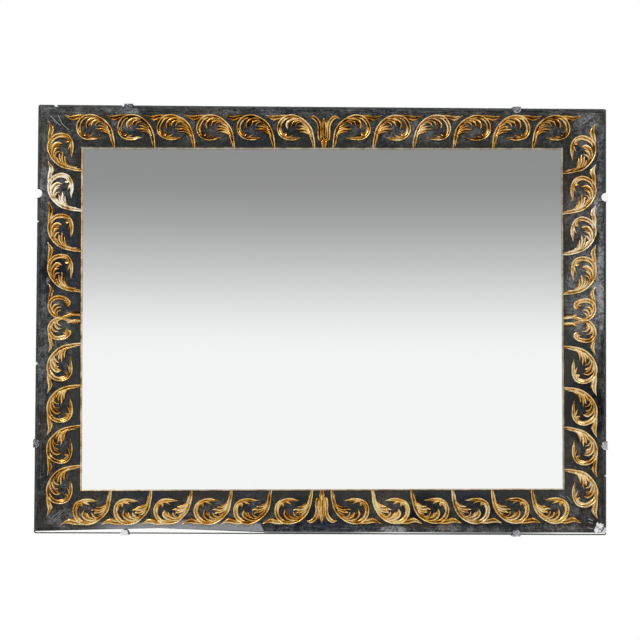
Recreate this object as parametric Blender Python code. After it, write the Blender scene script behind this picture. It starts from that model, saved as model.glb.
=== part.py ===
# Wall mirror. One bevelled sheet of mirror glass with a dark border carries a gilt ornament of
# acanthus scrolls and two tulips. It lies on a wooden backing board, and eight bright metal
# clips wrap round the edges of both.
# The front faces -Y and the top +Z. The origin is in the middle of the board's back, at the wall.

import math
from collections import namedtuple

import bmesh
import bpy
from mathutils import Matrix, Vector
from mathutils.geometry import delaunay_2d_cdt

MM = 0.001
GAP = 0.0003

# Glass sheet
GLASS_WIDTH = 1.200
GLASS_HEIGHT = 0.900
GLASS_THICKNESS = 0.006
GLASS_CORNER = 0.004
BEVEL_WIDTH = 0.0055
BEVEL_DEPTH = 0.0020
BEVEL_CORNER = 0.003
CORNER_STEPS = 3

# Backing board, its front to the glass and its back to the wall
BOARD_THICKNESS = 0.012
BOARD_INSET = 0.001
BOARD_CORNER = 0.003

# Gilt fillet between the border and the mirror: its middle line lies this far from the middle of
# the carving, and the carving as a whole sits a little turned and off the middle of the glass
FILLET_X = 0.507
FILLET_Z = 0.3595
CARVING_TURN = math.radians(0.35)
CARVING_SHIFT = Vector((0.0015, 0, 0.0022))
FILLET_HALF_WIDTH = 0.0028
FILLET_HEIGHT = 0.0018

# Places of the scrolls' feet along the fillet, from the middle of each side
LONG_SIDE_SCROLLS = 6
LONG_SIDE_FIRST = 0.021
LONG_SIDE_LAST = 0.442
SHORT_SIDE_SCROLLS = 4
SHORT_SIDE_FIRST = 0.056
SHORT_SIDE_LAST = 0.312

# How far each row of motifs has slipped along its side, to +X or to +Z: the rows of the top (1)
# and the bottom (-1), then those of the right (1) and the left (-1)
LONG_SIDE_SLIP = {1: 0.0030, -1: -0.0025}
SHORT_SIDE_SLIP = {1: -0.0045, -1: 0.0020}

# Lowest the carving gets inside its outline. A ridge point is left out where another stroke rises
# to this share of its height, and a valley gets a point where it is this long and this deep.
CARVING_LEAST = 0.0005
COVERED_SHARE = 0.75
VALLEY_SPAN = 0.007
VALLEY_SHARE = 0.7
SAME_POINT = 1e-6
GRID_CELL = 0.02

Stretch = namedtuple("Stretch", "stroke height corners start end")

# Clips, from the round end on the glass, over the edge, to the foot let into the board's back
CLIP_HALF_WIDTH = 0.0092
CLIP_OVERLAP = 0.0105
CLIP_STRIP = 0.0015
CLIP_STANDOFF = 0.0021
CLIP_BEND = 0.0026
CLIP_FOOT = 0.020
CLIP_ROUND_END = (20, 50, 90)
CLIP_BEND_STEPS = 2
CLIPS_ON_LONG_SIDES = 0.410
CLIPS_ON_SHORT_SIDES = 0.262
RECESS_DEPTH = 0.0022
RECESS_MARGIN = 0.0006

BOARD_FRONT = -BOARD_THICKNESS
GLASS_BACK = BOARD_FRONT - GAP
GLASS_FRONT = GLASS_BACK - GLASS_THICKNESS
ORNAMENT_BACK = GLASS_FRONT - GAP
CARVING_PLACE = Matrix.Translation(CARVING_SHIFT) @ Matrix.Rotation(-CARVING_TURN, 4, "Y")

# The strokes of the ornament, each as its ridge height and its stations along the middle line:
# how far along the fillet, how far out from it, and the half width, all in millimetres.
# A scroll rises from its foot at 0, 0, arches over and curls back in.
SCROLL = (
    (2.4, (
        (0.5, -1, 2.9), (1.1, 10, 3.3), (4.2, 24, 5.2), (9.7, 41, 5.3), (19.2, 54, 5.0),
        (32.5, 63.4, 4.9), (47.5, 67.4, 4.8), (61.5, 64.6, 5.0), (71.2, 54, 5.2), (73.7, 41, 5.4),
        (69.6, 28.6, 5.9), (58.4, 21.0, 5.8), (42.5, 19.4, 3.8), (26, 21, 0),
    )),
    (2.2, ((58, 66, 3.6), (75, 65.4, 4.5), (89, 63.6, 3.8), (103.5, 69.6, 0))),
    (1.8, ((70, 64, 3.0), (80, 60.8, 2.8), (91, 57.4, 0))),
    (2.2, ((27, 58.5, 3.6), (41, 60.5, 4.6), (51.6, 56, 4.7), (54, 47.5, 3.6), (50, 39.8, 0))),
    (1.9, ((26, 57, 3.0), (37, 56.5, 3.4), (44, 52, 2.4), (45.5, 46.5, 0))),
    (1.9, ((9, 34, 3.0), (18.5, 45.4, 3.6), (32, 48.6, 0))),
    (2.0, ((7, 28, 3.0), (15, 38, 4.6), (26, 42.5, 3.4), (39, 40.4, 0))),
    (1.8, ((7, 25, 3.0), (17.5, 35.4, 3.4), (32, 36.6, 0))),
    (1.8, ((5.7, 25, 3.4), (8.4, 10, 0))),
    (2.0, ((71, 26, 3.5), (64, 29.5, 3.4), (57.5, 33.5, 0))),
    (1.9, ((57, 20, 3.0), (48, 24.2, 2.8), (41, 27.2, 0))),
)

# One of the two small scrolls that meet in the middle of a short side
SMALL_SCROLL = (
    (2.0, ((8.0, -1, 4.2), (9.2, 17, 4.6), (11.8, 30.5, 0))),
    (2.4, (
        (7.0, 6, 3.0), (5.0, 26, 3.2), (0.8, 40, 3.2), (3.2, 51, 4.2), (10.8, 61, 4.6),
        (22, 66.2, 4.4), (34, 64, 4.6), (41.6, 55, 5.0), (42.2, 42.5, 5.1), (38.2, 31, 5.6),
        (30.5, 24.8, 5.6), (25.0, 29.6, 3.2),
    )),
    (2.2, ((26, 66.5, 3.8), (44, 64.2, 3.8), (59, 62.4, 3.6), (73, 68, 0))),
    (1.8, ((40, 63, 3.0), (50, 60, 2.6), (59, 57.2, 0))),
    (2.0, ((9, 56, 3.0), (19, 59.5, 3.2), (27.5, 55, 2.6), (29, 46.5, 0))),
    (1.9, ((7.5, 53.5, 2.8), (15.5, 54.5, 3.0), (21.8, 49.5, 2.9), (22.2, 39, 0))),
    (1.8, ((5.5, 50, 2.5), (11.5, 50.5, 2.4), (17.5, 41.5, 0))),
    (1.8, ((40, 35, 3.0), (32.4, 38.5, 0))),
)

# The tulip's own middle, and one of its two sides
TULIP_MIDDLE = (
    (2.2, ((0, -1, 3.8), (0, 6, 5.0), (0, 11.6, 6.8))),
    (1.8, ((0, 8, 2.2), (0, 20, 2.2))),
    (2.4, ((0, 16.5, 5.0), (0, 24, 8.6), (0, 44, 7.0), (0, 58, 3.4), (0, 68.5, 0))),
)
TULIP_SIDE = (
    (2.3, (
        (2, 16, 1.3), (7.6, 19.2, 3.9), (8.8, 30, 3.8), (8.6, 44, 4.0), (11.6, 54, 4.1),
        (17.4, 62, 4.0), (24.6, 66, 2.9), (32.2, 64.6, 0),
    )),
    (2.2, ((4, 18, 3.0), (5.2, 34, 3.4), (5.6, 48, 3.0), (7.2, 60, 0))),
)


def clear_scene():
    for obj in list(bpy.data.objects):
        bpy.data.objects.remove(obj, do_unlink=True)


def make_material(name, color, roughness, metallic):
    material = bpy.data.materials.new(name)
    material.use_nodes = True
    shader = material.node_tree.nodes["Principled BSDF"]
    shader.inputs["Base Color"].default_value = (*color, 1)
    shader.inputs["Roughness"].default_value = roughness
    shader.inputs["Metallic"].default_value = metallic
    return material


def mirror_material():
    return make_material("silvered_glass", (0.84, 0.85, 0.85), 0.03, 1.0)


def border_material():
    return make_material("dark_glass", (0.035, 0.038, 0.042), 0.12, 0.2)


def gilt_material():
    return make_material("old_gilding", (0.78, 0.50, 0.17), 0.34, 1.0)


def board_material():
    return make_material("backing_wood", (0.33, 0.21, 0.12), 0.75, 0.0)


def clip_material():
    return make_material("chromed_strip", (0.72, 0.72, 0.73), 0.16, 1.0)


def add_object(name, mesh, *materials):
    obj = bpy.data.objects.new(name, mesh)
    bpy.context.scene.collection.objects.link(obj)
    if not mesh.materials:
        for material in materials:
            mesh.materials.append(material)
    return obj


def finish_mesh(name, bm, smooth_angle=30):
    bmesh.ops.recalc_face_normals(bm, faces=bm.faces)
    mesh = bpy.data.meshes.new(name)
    bm.to_mesh(mesh)
    bm.free()
    mesh.shade_smooth()
    mesh.set_sharp_from_angle(angle=math.radians(smooth_angle))
    return mesh


def rounded_ring(bm, width, height, radius, y):
    """The corners of a rectangle in the X-Z plane, each rounded by an arc."""
    ring = []
    for quarter in range(4):
        start = math.pi / 2 * quarter
        side_x = 1 if quarter in (0, 3) else -1
        side_z = 1 if quarter in (0, 1) else -1
        for step in range(CORNER_STEPS + 1):
            angle = start + math.pi / 2 * step / CORNER_STEPS
            x = side_x * (width / 2 - radius) + radius * math.cos(angle)
            z = side_z * (height / 2 - radius) + radius * math.sin(angle)
            ring.append(bm.verts.new((x, y, z)))
    return ring


def bridge_rings(bm, first, second):
    """Quads between two rings of as many points, or fans to the corners of a ring of four."""
    count = len(first)
    share = count // len(second)
    for i in range(count):
        j = (i + 1) % count
        a, b = second[i // share], second[j // share]
        corners = (first[i], first[j], b, a) if a is not b else (first[i], first[j], a)
        bm.faces.new(corners)


def mirror_plate():
    """The glass: back, ground edge, polished bevel, dark border and the silvered middle."""
    bm = bmesh.new()
    back = rounded_ring(bm, GLASS_WIDTH, GLASS_HEIGHT, GLASS_CORNER, GLASS_BACK)
    edge = rounded_ring(bm, GLASS_WIDTH, GLASS_HEIGHT, GLASS_CORNER, GLASS_FRONT + BEVEL_DEPTH)
    front = rounded_ring(
        bm, GLASS_WIDTH - 2 * BEVEL_WIDTH, GLASS_HEIGHT - 2 * BEVEL_WIDTH, BEVEL_CORNER, GLASS_FRONT
    )
    sight = [
        bm.verts.new(CARVING_PLACE @ Vector((FILLET_X * side_x, GLASS_FRONT, FILLET_Z * side_z)))
        for side_x, side_z in ((1, 1), (-1, 1), (-1, -1), (1, -1))
    ]
    bm.faces.new(reversed(back))
    bridge_rings(bm, back, edge)
    bridge_rings(bm, edge, front)
    bridge_rings(bm, front, sight)
    for face in bm.faces:
        face.material_index = 1
    bm.faces.new(sight)
    mesh = finish_mesh("mirror_plate", bm, 12)
    return add_object("mirror_plate", mesh, mirror_material(), border_material())


def clip_places():
    """Each clip's name, its point on the glass's edge and the way out from the glass there."""
    x, z = CLIPS_ON_LONG_SIDES, CLIPS_ON_SHORT_SIDES
    half_width, half_height = GLASS_WIDTH / 2, GLASS_HEIGHT / 2
    return (
        ("clip_top_left", Vector((-x, 0, half_height)), Vector((0, 0, 1))),
        ("clip_top_right", Vector((x, 0, half_height)), Vector((0, 0, 1))),
        ("clip_bottom_left", Vector((-x, 0, -half_height)), Vector((0, 0, -1))),
        ("clip_bottom_right", Vector((x, 0, -half_height)), Vector((0, 0, -1))),
        ("clip_left_upper", Vector((-half_width, 0, z)), Vector((-1, 0, 0))),
        ("clip_left_lower", Vector((-half_width, 0, -z)), Vector((-1, 0, 0))),
        ("clip_right_upper", Vector((half_width, 0, z)), Vector((1, 0, 0))),
        ("clip_right_lower", Vector((half_width, 0, -z)), Vector((1, 0, 0))),
    )


def add_box(bm, low, high):
    middle = (low + high) / 2
    matrix = Matrix.Translation(middle) @ Matrix.Diagonal((*(high - low), 1))
    bmesh.ops.create_cube(bm, size=1, matrix=matrix)


def recess_cutter():
    """The eight shallow places in the board's back that the clips' feet lie in."""
    bm = bmesh.new()
    for _, point, outward in clip_places():
        across = Vector((outward.z, 0, outward.x))
        side = across * (CLIP_HALF_WIDTH + RECESS_MARGIN)
        inner = point - outward * (BOARD_INSET + CLIP_FOOT + RECESS_MARGIN)
        outer = point + outward * BOARD_INSET
        points = [inner - side, inner + side, outer - side, outer + side]
        low = Vector((min(p.x for p in points), -RECESS_DEPTH, min(p.z for p in points)))
        high = Vector((max(p.x for p in points), BOARD_INSET, max(p.z for p in points)))
        add_box(bm, low, high)
    mesh = finish_mesh("recess_cutter", bm)
    cutter = add_object("recess_cutter", mesh)
    cutter.hide_render = True
    cutter.display_type = "WIRE"
    return cutter


def backing_board():
    bm = bmesh.new()
    width = GLASS_WIDTH - 2 * BOARD_INSET
    height = GLASS_HEIGHT - 2 * BOARD_INSET
    back = rounded_ring(bm, width, height, BOARD_CORNER, 0)
    front = rounded_ring(bm, width, height, BOARD_CORNER, BOARD_FRONT)
    bm.faces.new(back)
    bm.faces.new(reversed(front))
    bridge_rings(bm, back, front)
    board = add_object("backing_board", finish_mesh("backing_board", bm), board_material())
    cut = board.modifiers.new("clip_recesses", "BOOLEAN")
    cut.operation = "DIFFERENCE"
    cut.solver = "EXACT"
    cut.object = recess_cutter()
    return board


def clip_path():
    """Stations of the bent strip: way out from the edge, depth, strip's normal, half width."""
    front = GLASS_FRONT - GAP - CLIP_STRIP / 2
    back = -RECESS_DEPTH + GAP + CLIP_STRIP / 2
    reach = CLIP_STANDOFF + CLIP_STRIP / 2
    stations = []
    for degrees in CLIP_ROUND_END:
        angle = math.radians(degrees)
        out = -CLIP_OVERLAP + CLIP_HALF_WIDTH * (1 - math.cos(angle))
        stations.append((out, front, (0, -1), CLIP_HALF_WIDTH * math.sin(angle)))
    for start, depth in ((0, front + CLIP_BEND), (90, back - CLIP_BEND)):
        for step in range(CLIP_BEND_STEPS + 1):
            angle = math.radians(start + 90 * step / CLIP_BEND_STEPS)
            normal = (math.sin(angle), -math.cos(angle))
            out = reach - CLIP_BEND + CLIP_BEND * normal[0]
            stations.append((out, depth + CLIP_BEND * normal[1], normal, CLIP_HALF_WIDTH))
    stations.append((-BOARD_INSET - CLIP_FOOT, back, (0, 1), CLIP_HALF_WIDTH))
    return stations


def clip_mesh():
    """One clip with the glass's edge at its origin, its way out along +Z."""
    bm = bmesh.new()
    rings = []
    for out, depth, (normal_out, normal_depth), half_width in clip_path():
        ring = []
        for side, lift in ((-1, 1), (1, 1), (1, -1), (-1, -1)):
            half = lift * CLIP_STRIP / 2
            place = (side * half_width, depth + half * normal_depth, out + half * normal_out)
            ring.append(bm.verts.new(place))
        rings.append(ring)
    for first, second in zip(rings, rings[1:]):
        bridge_rings(bm, first, second)
    bm.faces.new(rings[0])
    bm.faces.new(reversed(rings[-1]))
    return finish_mesh("clip", bm)


def clips():
    mesh = clip_mesh()
    material = clip_material()
    for name, point, outward in clip_places():
        clip = add_object(name, mesh, material)
        clip.location = point
        clip.rotation_euler = (0, math.atan2(outward.x, outward.z), 0)


def scroll_feet():
    """Foot, way along the fillet and way out, of every scroll that isn't a small one."""
    feet = []
    for side in (1, -1):
        for end in (1, -1):
            for i in range(LONG_SIDE_SCROLLS):
                step = (LONG_SIDE_LAST - LONG_SIDE_FIRST) / (LONG_SIDE_SCROLLS - 1)
                x = end * (LONG_SIDE_FIRST + step * i) + LONG_SIDE_SLIP[side]
                feet.append((Vector((x, side * FILLET_Z)), Vector((end, 0)), Vector((0, side))))
            for i in range(SHORT_SIDE_SCROLLS):
                step = (SHORT_SIDE_LAST - SHORT_SIDE_FIRST) / (SHORT_SIDE_SCROLLS - 1)
                z = end * (SHORT_SIDE_FIRST + step * i) + SHORT_SIDE_SLIP[side]
                feet.append((Vector((side * FILLET_X, z)), Vector((0, end)), Vector((side, 0))))
    return feet


def placed_motifs():
    """Every motif of the border with its foot, its way along the fillet and its way out."""
    motifs = [(SCROLL, *place) for place in scroll_feet()]
    for side in (1, -1):
        scroll_foot = Vector((side * FILLET_X, SHORT_SIDE_SLIP[side]))
        tulip_foot = Vector((LONG_SIDE_SLIP[side], side * FILLET_Z))
        sideways, upwards = Vector((side, 0)), Vector((0, side))
        for end in (1, -1):
            motifs.append((SMALL_SCROLL, scroll_foot, Vector((0, end)), sideways))
            motifs.append((TULIP_SIDE, tulip_foot, Vector((end, 0)), upwards))
        motifs.append((TULIP_MIDDLE, tulip_foot, Vector((1, 0)), upwards))
    return motifs


def all_strokes():
    """Each stroke of the border as its ridge height and its stations (point, half width)."""
    strokes = []
    for motif, foot, along, outward in placed_motifs():
        for height, stations in motif:
            placed = [
                (foot + along * u * MM + outward * v * MM, half * MM) for u, v, half in stations
            ]
            strokes.append((height * MM, placed))
    round_the_mirror = ((1, 1), (-1, 1), (-1, -1), (1, -1), (1, 1))
    corners = [Vector((FILLET_X * x, FILLET_Z * z)) for x, z in round_the_mirror]
    strokes.append((FILLET_HEIGHT, [(corner, FILLET_HALF_WIDTH) for corner in corners]))
    return strokes


def turned_left(corners):
    """The corners in the order that has their inside on the left."""
    area = sum(a.cross(b) for a, b in zip(corners, corners[1:] + corners[:1]))
    return corners if area > 0 else corners[::-1]


def stroke_sides(stations):
    """The two outline points at each station, mitred at bends, or the one at a tip."""
    points = [point for point, _ in stations]
    ways = [(b - a).normalized() for a, b in zip(points, points[1:])]
    closed = points[0] == points[-1]
    arriving = [ways[-1] if closed else ways[0], *ways]
    leaving = [*ways, ways[0] if closed else ways[-1]]
    sides = []
    for (point, half), way_in, way_out in zip(stations, arriving, leaving):
        direction = (way_in + way_out).normalized()
        reach = Vector((-direction.y, direction.x)) * half / direction.dot(way_in)
        sides.append((point + reach, point - reach) if half else (point,))
    return sides


def stroke_stretches(stroke_number, height, stations):
    """Each stretch of a stroke between two stations, with its outline, a triangle at the tip."""
    sides = stroke_sides(stations)
    stretches = []
    for i in range(len(stations) - 1):
        corners = turned_left([*sides[i], *reversed(sides[i + 1])])
        stretches.append(Stretch(stroke_number, height, corners, stations[i], stations[i + 1]))
    return stretches


def grid_cell(point):
    return math.floor(point.x / GRID_CELL), math.floor(point.y / GRID_CELL)


def grid_of(stretches):
    """For each cell of a coarse grid, the stretches that reach into it."""
    grid = {}
    for stretch in stretches:
        ends = [grid_cell(corner) for corner in stretch.corners]
        for column in range(min(x for x, _ in ends), max(x for x, _ in ends) + 1):
            for row in range(min(y for _, y in ends), max(y for _, y in ends) + 1):
                grid.setdefault((column, row), []).append(stretch)
    return grid


def is_on_ornament(point, grid):
    for stretch in grid.get(grid_cell(point), ()):
        corners = stretch.corners
        sides = zip(corners, corners[1:] + corners[:1])
        if all((b - a).cross(point - a) >= 0 for a, b in sides):
            return True
    return False


def roof_height(point, grid, left_out=None):
    """The highest stroke over a point, each falling straight from its ridge to its outline."""
    best = CARVING_LEAST
    for stretch in grid.get(grid_cell(point), ()):
        if stretch.stroke == left_out:
            continue
        (start, start_half), (end, end_half) = stretch.start, stretch.end
        way = end - start
        share = min(max((point - start).dot(way) / way.length_squared, 0), 1)
        half = start_half + (end_half - start_half) * share
        distance = (start + way * share - point).length
        if distance < half:
            best = max(best, stretch.height * (1 - distance / half))
    return best


def split_plane(points, lines, outlines, grid):
    """Triangles between the points and lines, of which only those on the ornament are kept."""
    made, _, triangles = delaunay_2d_cdt(points, lines, outlines, 0, SAME_POINT, True)[:3]
    kept = []
    for i, j, k in triangles:
        if is_on_ornament((made[i] + made[j] + made[k]) / 3, grid):
            kept.append((i, j, k))
    return made, kept


def edges_of(triangles):
    """The ways round in which the triangles beside each edge use it."""
    users = {}
    for triangle in triangles:
        for a, b in zip(triangle, triangle[1:] + triangle[:1]):
            users.setdefault(frozenset((a, b)), []).append((a, b))
    return users


def rim_of(triangles):
    """The edges that only one triangle has: the outline, with its inside on their left."""
    return [ways[0] for ways in edges_of(triangles).values() if len(ways) == 1]


def used_points(made, edges):
    """The points that the edges use, and the edges by their new numbers."""
    used = sorted({i for edge in edges for i in edge})
    place = {i: n for n, i in enumerate(used)}
    return [made[i] for i in used], [(place[a], place[b]) for a, b in edges]


def outline_of(stretches, grid):
    """The points and edges of the outline of all strokes together."""
    points, outlines = [], []
    for stretch in stretches:
        outlines.append(list(range(len(points), len(points) + len(stretch.corners))))
        points += stretch.corners
    made, triangles = split_plane(points, [], outlines, grid)
    return used_points(made, rim_of(triangles))


def visible_ridges(first_number, strokes, grid):
    """The ridge points that no other stroke covers, and the lines between them."""
    points, lines = [], []
    for number, (height, stations) in enumerate(strokes):
        last = None
        for point, _ in stations:
            if roof_height(point, grid, left_out=number) > height * COVERED_SHARE:
                last = None
                continue
            points.append(point)
            current = first_number + len(points) - 1
            if last is not None:
                lines.append((last, current))
            last = current
    return points, lines


def points_to_add(made, triangles, grid):
    """Middles of the edges that run from rim to rim, or from ridge to ridge over a valley."""
    users = edges_of(triangles)
    on_rim = {i for edge, ways in users.items() if len(ways) == 1 for i in edge}
    added = []
    for edge in (edge for edge, ways in users.items() if len(ways) == 2):
        a, b = (made[i] for i in edge)
        middle = (a + b) / 2
        if edge <= on_rim:
            added.append(middle)
        elif not edge & on_rim and (a - b).length > VALLEY_SPAN:
            lower = min(roof_height(a, grid), roof_height(b, grid))
            if roof_height(middle, grid) < lower * VALLEY_SHARE:
                added.append(middle)
    return added


def carved_surface(strokes):
    """Points and triangles of the carving: its outline, its ridges and the valleys between them."""
    stretches = [
        stretch
        for number, (height, stations) in enumerate(strokes)
        for stretch in stroke_stretches(number, height, stations)
    ]
    grid = grid_of(stretches)
    points, rim = outline_of(stretches, grid)
    ridge_points, ridge_lines = visible_ridges(len(points), strokes, grid)
    points += ridge_points
    added = ridge_points
    while added:
        made, triangles = split_plane(points, rim + ridge_lines, [], grid)
        added = points_to_add(made, triangles, grid)
        points += added
    return made, triangles, grid


def gilt_ornament():
    """Fillet, scrolls and tulips as one carving: ridged strokes that fall to a flat back."""
    points, triangles, grid = carved_surface(all_strokes())
    rim = rim_of(triangles)
    on_rim = {i for edge in rim for i in edge}
    bm = bmesh.new()
    verts = {}
    for i in sorted({i for triangle in triangles for i in triangle}):
        height = 0 if i in on_rim else roof_height(points[i], grid)
        verts[i] = bm.verts.new((points[i].x, ORNAMENT_BACK - height, points[i].y))
    for triangle in triangles:
        bm.faces.new([verts[i] for i in triangle])
    back_points, back_lines = used_points(points, rim)
    rim_verts = [verts[i] for i in sorted(on_rim)]
    made_back, back_triangles = split_plane(back_points, back_lines, [], grid)
    at_point = {tuple(point): vert for point, vert in zip(back_points, rim_verts)}
    for triangle in back_triangles:
        bm.faces.new([at_point[tuple(made_back[i])] for i in reversed(triangle)])
    mesh = finish_mesh("gilt_ornament", bm, 40)
    mesh.transform(CARVING_PLACE)
    return add_object("gilt_ornament", mesh, gilt_material())


clear_scene()
backing_board()
mirror_plate()
gilt_ornament()
clips()
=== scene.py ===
# Wall mirror, the looks: carved and gilt relief, clouded dark border glass, silvered middle,
# polished bevel with its nicks and marks, chromed clips and a plywood back.
# The front faces -Y. Sizes are in metres unless a name or a comment says millimetres.

import math
from collections import namedtuple
from functools import partialmethod

import bpy
import numpy as np
from mathutils import Matrix, Vector


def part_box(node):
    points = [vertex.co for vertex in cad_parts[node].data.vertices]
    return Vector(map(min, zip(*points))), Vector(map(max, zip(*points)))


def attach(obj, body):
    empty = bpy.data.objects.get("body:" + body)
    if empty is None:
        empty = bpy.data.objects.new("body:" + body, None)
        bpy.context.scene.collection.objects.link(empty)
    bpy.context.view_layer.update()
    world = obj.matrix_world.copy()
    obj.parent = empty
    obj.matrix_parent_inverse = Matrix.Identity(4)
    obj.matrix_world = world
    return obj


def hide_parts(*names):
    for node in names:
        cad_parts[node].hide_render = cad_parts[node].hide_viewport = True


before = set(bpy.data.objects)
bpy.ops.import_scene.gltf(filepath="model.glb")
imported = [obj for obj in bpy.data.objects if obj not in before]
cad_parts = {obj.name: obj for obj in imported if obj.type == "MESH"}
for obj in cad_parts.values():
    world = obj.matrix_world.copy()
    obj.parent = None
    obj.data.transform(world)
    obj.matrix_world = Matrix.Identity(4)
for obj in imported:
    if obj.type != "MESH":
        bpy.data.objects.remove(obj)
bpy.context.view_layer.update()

MM = 0.001
CORNERS = np.array(((1, 1), (-1, 1), (-1, -1), (1, -1)))
PLATE_LOW, PLATE_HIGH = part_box("mirror_plate")
ORNAMENT_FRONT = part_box("gilt_ornament")[0].y
HALF_WIDTH, HALF_HEIGHT = PLATE_HIGH.x, PLATE_HIGH.z
GLASS_FRONT, GLASS_BACK = PLATE_LOW.y, PLATE_HIGH.y

# Glass edge: the bevel is ground wider along the left part of the bottom
BEVEL_WIDTH = 0.0055
BEVEL_DEPTH = 0.0020
BEVEL_CORNER = 0.003
GLASS_CORNER = 0.004
BACK_CHAMFER = 0.0004
FRONT_CHAMFER = 0.0027
ARRIS_WIDTH = 0.0007
WORN_CORNER = 0.010
WIDE_BEVEL_FROM, WIDE_BEVEL_MOST_AT, WIDE_BEVEL_TO = -0.590, -0.340, -0.120
WIDE_BEVEL_MORE, WIDE_BEVEL_POWER = 0.0065, 0.8
# Widths of the painted reflection of the floor on the bottom bevel: at its left end, its widest and
# its right end
FLOOR_REFLECTION_WIDTHS = (0.0047, 0.0118, 0.0040)

# The carving sits a little turned and off the middle of the glass
CARVING_TURN = math.radians(0.35)
CARVING_SHIFT = Vector((0.0015, 0, 0.0022))
CARVING_PLACE = Matrix.Translation(CARVING_SHIFT) @ Matrix.Rotation(-CARVING_TURN, 4, "Y")

# Fillet round the mirror, and the scrolls' feet along it, from the middle of each side
FILLET_X, FILLET_Z = 0.507, 0.3595
FILLET_HALF_WIDTH = 0.0028
FILLET_HEIGHT = 0.0018
FILLET_STEP = 0.004
FILLET_PALE = 0.6
FILLET_WIDTH_WANDER, FILLET_HEIGHT_WANDER = 0.10, 0.12
# How dull and dark the fillet is along each side: worn gilding, and painted shade where a side turns
# from the light, most along the top
FILLET_WEAR_AND_SHADE = {"top": 0.92, "right": 0.85, "left": 0.25, "bottom": 0.55}
# Along the bottom it is narrower, and lighter at its left end: less wear there, and a painted
# highlight
FILLET_BOTTOM_WIDTH = 0.62
FILLET_BOTTOM_LEFT_WEAR_AND_SHADE, FILLET_BOTTOM_LEFT_TO = 0.10, -0.35
LONG_SIDE_FEET = np.linspace(0.021, 0.442, 6)
SHORT_SIDE_FEET = np.linspace(0.056, 0.312, 4)

# The relief reaches from just in front of the glass up to the solid's highest ridge
RELIEF_BASE = GLASS_FRONT - 0.00004
RELIEF_TOP_MM = 2.5
RELIEF_SCALE = (RELIEF_BASE - ORNAMENT_FRONT) / RELIEF_TOP_MM
TIP_HALF_MM = 0.22
STEP_MM = 1.7
BLUNT_END_MM = 1
RIM_LIFT_MM = 0.55
RIM_TAPER_MM, RIM_TAPER_POWER, RIM_MOST_SHARE = 7, 0.6, 0.6
STROKE_HEIGHT_POWER = 0.55
ROOT_HEIGHT, ROOT_RISE_MM = 0.6, 9

# How far the hand strays: in place and width, in tone a motif and a stroke, and in paleness
HAND_SHIFT_MM = 0.35
HAND_WIDTH = 0.05
MOTIF_TONE, STROKE_TONE = 0.05, 0.07
MOTIF_PALE = 0.06
FOOT_SHIFT_MM = 0.7
TULIP_SHIFT_SHARE, TULIP_PALE_SHARE = 0.4, 0.2

# Tone along a stroke: lighter to its tip, with painted shade at its root and at a round end
TIP_LIGHT, TIP_LIGHT_FROM = 0.14, 0.8
ROOT_SHADE, ROOT_SHADE_MM = 0.16, 8
ROUND_END_SHADE, ROUND_END_MM = 0.45, 5
RIM_TONE_SHARE = 0.5
PALE_SCROLL_TONE = 0.1

CAMERA_PLACE = (-0.0539, -3.1952, -0.0908)
CAMERA_PITCH, CAMERA_ROLL, CAMERA_YAW = 1.6238, -0.2924, -0.8954
CAMERA_LENS = 85

# Sections across a stroke, from its right side at -1 to its left at 1, the outer side of a scroll:
# place, share of the ridge height, and tone from 0 for a dark hollow to 1 for a pale rim where the
# gold is rubbed.
# The dark tones are patina, and painted shade in the hollows and along a stroke's edges.
BODY = (
    (-1, 0, 0.12), (-0.84, 0.64, 0.40), (-0.50, 0.94, 0.62), (-0.16, 0.78, 0.50), (0.08, 0.66, 0.32),
    (0.36, 0.92, 0.60), (0.68, 1, 0.68), (1, 0, 0.12),
)
RIM = ((-1, 0, 0.30), (-0.62, 0.74, 0.74), (-0.1, 1, 0.98), (0.5, 0.92, 1.0), (1, 0, 0.30))
LEAF = (
    (-1, 0, 0.04), (-0.76, 0.50, 0.14), (-0.42, 0.62, 0.36), (-0.05, 0.80, 0.58), (0.30, 0.96, 0.90),
    (0.62, 1, 1.0), (0.86, 0.60, 0.72), (1, 0, 0.18),
)
FINGER = (
    (-1, 0, 0.06), (-0.66, 0.60, 0.22), (-0.20, 0.74, 0.40), (0.20, 0.92, 0.72), (0.60, 1, 1.0),
    (1, 0, 0.20),
)
BLADE = (
    (-1, 0, 0.26), (-0.78, 0.76, 0.90), (-0.46, 0.74, 0.66), (-0.05, 0.50, 0.36), (0.35, 0.78, 0.64),
    (0.70, 1, 1.0), (0.90, 0.60, 0.74), (1, 0, 0.26),
)

# A stroke has its ridge height, its section and its stations along the middle line: how far along
# the fillet, how far out from it, and the half width, all in millimetres. A rim follows a stroke
# at a share of its half width, with its own half width, between two shares of the stroke's length.
Stroke = namedtuple("Stroke", "height section stations rims", defaults=((),))

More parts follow.
